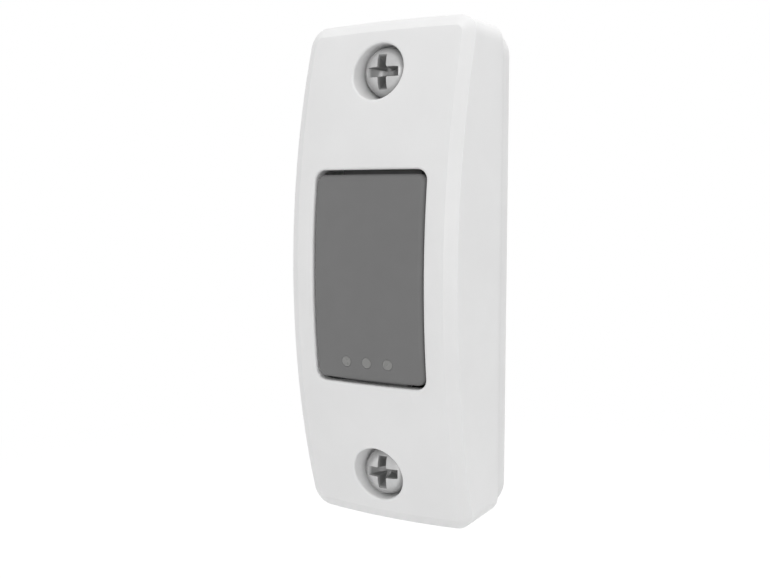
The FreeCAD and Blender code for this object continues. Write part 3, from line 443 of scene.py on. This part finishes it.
# Lifts off the wall: the thread's start and the length over which it rises, the point's shoulder and tip
THREAD_TOP = 0.25
THREAD_RISE = 0.5
POINT_TOP, POINT_TIP = -17.95, -20.95
POINT_BULGE = 0.8
POINT_THREAD = 1.4


def ring(bm, lift, radius):
    """A ring of points round the screw's axis, at a radius that may be a function of the angle."""
    points = []
    for i in range(ROUND_STEPS):
        angle = 2 * math.pi * i / ROUND_STEPS
        r = (radius(angle) if callable(radius) else radius) * MM
        points.append(bm.verts.new((r * math.cos(angle), -lift * MM, r * math.sin(angle))))
    return points


def loft(bm, rows, close_last=True):
    """Joins closed rows of points by four-sided faces and closes the ends."""
    for first, second in zip(rows, rows[1:]):
        for i in range(len(first)):
            j = (i + 1) % len(first)
            bm.faces.new((first[i], first[j], second[j], second[i]))
    bm.faces.new(rows[0])
    if close_last:
        bm.faces.new(rows[-1])


def mesh_piece(name, bm):
    bmesh.ops.recalc_face_normals(bm, faces=bm.faces)
    mesh = bpy.data.meshes.new(name)
    bm.to_mesh(mesh)
    bm.free()
    piece = bpy.data.objects.new(name, mesh)
    bpy.context.scene.collection.objects.link(piece)
    return piece


def head_mesh():
    """Closed head: the flat underside, a rolled edge and the dome up to a small flat."""
    bm = bmesh.new()
    rings = [ring(bm, SEAT_LIFT + up, radius) for radius, up in HEAD]
    foot, foot_up = HEAD[-1]
    for i in range(1, DOME_STEPS + 1):
        turn = math.pi / 2 * i / DOME_STEPS
        lift = SEAT_LIFT + foot_up + (HEAD_RISE - foot_up) * math.sin(turn)
        rings.append(ring(bm, lift, HEAD_FLAT + (foot - HEAD_FLAT) * math.cos(turn)))
    loft(bm, rings)
    return mesh_piece("screw head", bm)


def recess_mesh():
    """Cutter of the cross recess: two bars whose sides and ends draw in towards the floor, and a cone."""
    bm = bmesh.new()
    top = SEAT_LIFT + HEAD_RISE
    for upright in (False, True):
        rows = []
        for up, long, thin in RECESS_BARS:
            corners = [(-long, -thin), (long, -thin), (long, thin), (-long, thin)]
            if upright:
                corners = [(v, u) for u, v in corners]
            rows.append([bm.verts.new((u * MM, -(top + up) * MM, v * MM)) for u, v in corners])
        loft(bm, rows)
    loft(bm, [ring(bm, top + up, radius) for up, radius in RECESS_CONE])
    return mesh_piece("recess cutter", bm)


def thread_rise(lift, angle):
    """Share of the thread's height at a point: 1 on the crest, 0 on the root between turns."""
    along = (-lift / PITCH + angle / (2 * math.pi)) % 1.0 * PITCH
    away = min(along, PITCH - along)
    return max(0.0, min(1.0, 1 - (away - CREST / 2) / FLANK))


def shank_mesh():
    """Closed shank: plain to the wall, then a thread that fades in and runs out on the point."""
    bm = bmesh.new()
    rings = [ring(bm, SEAT_LIFT, BLANK)]
    for i in range(round((THREAD_TOP - POINT_TIP) / ROW)):
        lift = THREAD_TOP - i * ROW
        to_point = max(0.0, min(1.0, (lift - POINT_TIP) / (POINT_TOP - POINT_TIP)))
        start = min(1.0, (THREAD_TOP - lift) / THREAD_RISE)
        root = CORE * to_point ** POINT_BULGE
        if start < 1:
            root = BLANK + (CORE - BLANK) * start
        height = (THREAD - CORE) * start * min(1.0, to_point * POINT_THREAD)
        rings.append(ring(bm, lift, lambda angle: root + height * thread_rise(lift, angle)))
    loft(bm, rings, close_last=False)
    tip = bm.verts.new((0, -POINT_TIP * MM, 0))
    last = rings[-1]
    for i in range(ROUND_STEPS):
        bm.faces.new((last[i], last[(i + 1) % ROUND_STEPS], tip))
    return mesh_piece("screw shank", bm)


def make_wall_screws():
    head, cutter, shank = head_mesh(), recess_mesh(), shank_mesh()
    carve = head.modifiers.new("recess", "BOOLEAN")
    carve.operation = "DIFFERENCE"
    carve.object = cutter
    carve.solver = "EXACT"
    carve.use_self = True
    carved = bpy.data.meshes.new_from_object(head.evaluated_get(bpy.context.evaluated_depsgraph_get()))
    bm = bmesh.new()
    for end in (-1, 1):
        for mesh in (carved, shank.data):
            before = len(bm.verts)
            bm.from_mesh(mesh)
            bm.verts.ensure_lookup_table()
            for vert in bm.verts[before:]:
                vert.co.z += end * SCREW_LEVEL
    for piece in (head, cutter, shank):
        bpy.data.objects.remove(piece)
    screws = mesh_piece("wall_screw_pair", bm)
    for face in screws.data.polygons:
        face.use_smooth = True
    screws.data.set_sharp_from_angle(angle=SHARP_EDGE)
    screws.data.materials.append(MATERIALS["screw_zinc"])
    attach(screws, "case")
    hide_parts("wall_screws")


# Studio

AMBIENT = 0.73
FLOOR_DROP = 45 * MM
FLOOR_SIZE = 6.0
FLOOR_GREY = 0.6
FLOOR_ROUGH = 0.9
# The floor fades from its own shade to the backdrop's white between these distances
FLOOR_NEAR, FLOOR_FAR = 0.075, 0.25
# Round soft lamps that face the object: azimuth to the right of the wall's normal, elevation, distance
# and size in metres, power in watts
LAMPS = {
    "overhead": (140, 74, 1.1, 0.7, 4.9),
    "key right": (36, 2, 1.3, 0.6, 4.1),
    "key left": (-45, 0, 1.2, 0.6, 1.2),
}


def make_world():
    """Even light from all round, and a white backdrop wherever it is seen."""
    world = bpy.data.worlds.new("studio")
    bpy.context.scene.world = world
    world.use_nodes = True
    shade = Tree(world.node_tree)
    light = shade.set(world.node_tree.nodes["Background"], Color=WHITE, Strength=AMBIENT)
    white = shade.set(shade.add("ShaderNodeBackground"), Color=WHITE)
    surface = shade.mixed(shade.seen_directly(), light.outputs[0], white.outputs[0])
    shade.set(world.node_tree.nodes["World Output"], Surface=surface)


def make_lamps():
    for name, (azimuth, elevation, distance, size, power) in LAMPS.items():
        turn, rise = math.radians(azimuth), math.radians(elevation)
        flat = distance * math.cos(rise)
        place = Vector((flat * math.sin(turn), -flat * math.cos(turn), distance * math.sin(rise)))
        data = bpy.data.lights.new(name, "AREA")
        data.shape = "DISK"
        data.size = size
        data.energy = power
        lamp = bpy.data.objects.new(name, data)
        lamp.location = place
        lamp.rotation_euler = place.to_track_quat("Z", "Y").to_euler()
        bpy.context.scene.collection.objects.link(lamp)


def floor_material():
    """Pale matt floor. It keeps the shadow under the object and turns as white as the backdrop further
    out, and from beneath it doesn't hide the object."""
    shade = Shade("floor")
    shade.paint(Base_Color=(FLOOR_GREY, FLOOR_GREY, FLOOR_GREY, 1), Roughness=FLOOR_ROUGH)
    pale = shade.set(shade.add("ShaderNodeBsdfDiffuse"), Color=WHITE)
    white = shade.add("ShaderNodeEmission")
    flat = shade.set(shade.add("ShaderNodeCombineXYZ"), X=shade.part("X"), Y=shade.part("Y"))
    away = shade.feed(shade.add("ShaderNodeVectorMath", operation="LENGTH"), flat.outputs[0])
    fade = shade.add("ShaderNodeMapRange", interpolation_type="SMOOTHSTEP")
    shade.set(fade, Value=away.outputs["Value"], From_Min=FLOOR_NEAR, From_Max=FLOOR_FAR)
    above = shade.mixed(fade.outputs["Result"], pale.outputs[0], white.outputs[0])
    beneath = shade.add("ShaderNodeNewGeometry").outputs["Backfacing"]
    shown = shade.mixed(beneath, above, shade.add("ShaderNodeBsdfTransparent").outputs[0])
    surface = shade.mixed(shade.seen_directly(), shade.shader.outputs[0], shown)
    shade.set(shade.tree.nodes["Material Output"], Surface=surface)
    return shade.material


def make_floor():
    level = cad_low.z - FLOOR_DROP
    half = FLOOR_SIZE / 2
    mesh = bpy.data.meshes.new("floor")
    corners = [(-half, -half, level), (half, -half, level), (half, half, level), (-half, half, level)]
    mesh.from_pydata(corners, [], [(0, 1, 2, 3)])
    mesh.materials.append(floor_material())
    floor = bpy.data.objects.new("floor", mesh)
    bpy.context.scene.collection.objects.link(floor)


make_camera()
dress_nodes()
make_wall_screws()
make_world()
make_floor()
make_lamps()
